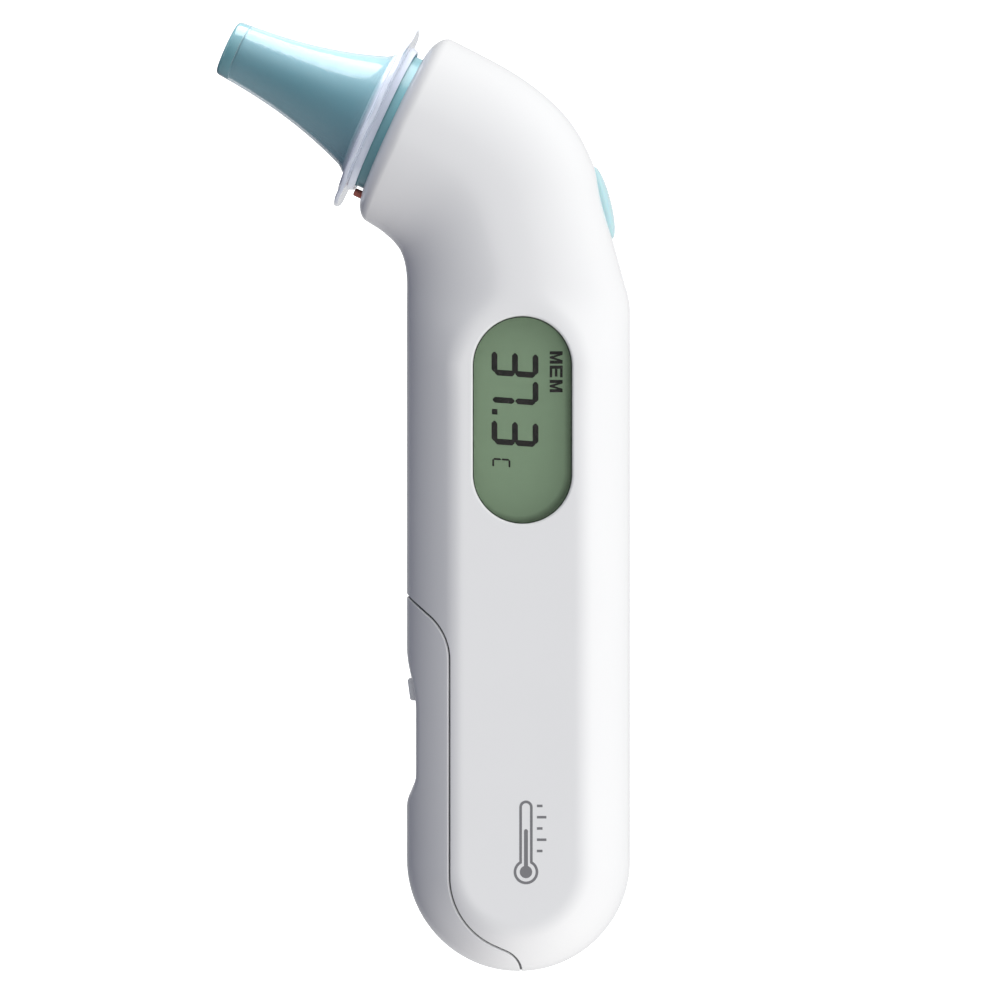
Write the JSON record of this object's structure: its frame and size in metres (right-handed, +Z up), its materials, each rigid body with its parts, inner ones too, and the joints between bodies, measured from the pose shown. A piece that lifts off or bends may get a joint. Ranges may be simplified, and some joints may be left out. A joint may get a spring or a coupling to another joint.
{
  "type": "digital ear thermometer",
  "caption": "Hand-held ear thermometer with an angled infrared probe, clip-on lens filter, oval display window, start and memory buttons and a swing-open battery door.",
  "frame": {"origin": "bottom centre of the upright object's box", "axes": "+Z up along the handle, display faces -Y, probe points towards -X and a little up"},
  "size_m": [0.0598, 0.029, 0.1374],
  "materials": {
    "white_case": "glossy moulded ABS, white",
    "white_door": "glossy moulded ABS, white",
    "window_clear": "clear moulded window, polished",
    "foam": "black foam gasket",
    "lcd_glass": "reflective grey-green LCD glass",
    "inner_plastic": "satin inner moulding",
    "elastomer": "striped conductive rubber",
    "circuit_board": "green solder mask",
    "chip_black": "black moulded epoxy",
    "bright_metal": "tinned or nickel-plated",
    "components": "ceramic chips",
    "gilt_metal": "gold-plated or brass",
    "switch_grey": "dark grey switch body",
    "button_grey": "light grey, satin",
    "flex_film": "amber flexible circuit",
    "button_aqua": "pale aqua, glossy and slightly translucent",
    "probe_teal": "teal-blue glossy plastic",
    "sensor_window": "polished infrared window",
    "block_metal": "turned aluminium",
    "spring_steel": "spring wire",
    "pin_red_brown": "dark red-brown plastic",
    "ring_teal": "teal, satin to glossy",
    "filter_clear": "thin translucent polyethylene",
    "filter_film": "very thin clear film",
    "cell_steel": "nickel-plated steel",
    "screw_steel": "zinc-plated steel"
  },
  "bodies": {
    "housing": {"display_side_housing": "white_case", "back_side_housing": "white_case", "display_window": "window_clear", "window_gasket": "foam", "lcd_panel": "lcd_glass", "lcd_frame": "inner_plastic", "lcd_contact_strip": "elastomer", "main_circuit_board": "circuit_board", "microcontroller": "chip_black", "memory_chip": "chip_black", "quartz_crystal": "bright_metal", "board_components": "components", "buzzer_disc": "gilt_metal", "buzzer_springs": "bright_metal", "memory_switch": "switch_grey", "start_switch": "switch_grey", "start_switch_board": "circuit_board", "start_switch_flex": "flex_film", "probe_cone": "probe_teal", "probe_window": "sensor_window", "waveguide": "gilt_metal", "thermopile_sensor": "bright_metal", "sensor_block": "block_metal", "sensor_sleeve": "inner_plastic", "sensor_board": "circuit_board", "sensor_flex": "flex_film", "sensor_connector": "inner_plastic", "detector_switch": "switch_grey", "detector_spring": "spring_steel", "battery_holder": "inner_plastic", "front_battery_contact": "gilt_metal", "rear_battery_contact": "gilt_metal", "coin_cells": "cell_steel", "housing_screws": "screw_steel"},
    "battery_door": {"battery_door": "white_door"},
    "start_button": {"start_button": "button_aqua"},
    "memory_button": {"memory_button": "button_grey"},
    "detector_pin": {"detector_pin": "pin_red_brown"},
    "ejector_ring": {"ejector_ring": "ring_teal"},
    "lens_filter": {"lens_filter": "filter_clear", "filter_film": "filter_film"}
  },
  "joints": [
    {"name": "battery_door_hinge", "type": "hinge", "parent": "housing", "child": "battery_door", "pos_m": [-0.00253, 0, 0.0544], "axis": [0, 1, 0], "range_deg": [0, 55]},
    {"name": "start_button_press", "type": "slide", "parent": "housing", "child": "start_button", "axis": [-0.969, 0, -0.247], "range_m": [0, 0.001], "stiffness_N_per_m": 1500},
    {"name": "memory_button_press", "type": "slide", "parent": "housing", "child": "memory_button", "axis": [1, 0, 0], "range_m": [0, 0.0006], "stiffness_N_per_m": 1500},
    {"name": "detector_pin_press", "type": "slide", "parent": "housing", "child": "detector_pin", "axis": [0.9063, 0, -0.4226], "range_m": [0, 0.001], "stiffness_N_per_m": 300, "deforming": ["detector_spring"]},
    {"name": "ejector_slide", "type": "slide", "parent": "housing", "child": "ejector_ring", "axis": [-0.9063, 0, 0.4226], "range_m": [0, 0.0038]},
    {"name": "lens_filter_slide", "type": "slide", "parent": "ejector_ring", "child": "lens_filter", "axis": [-0.9063, 0, 0.4226], "range_m": [0, 0.03]}
  ]
}
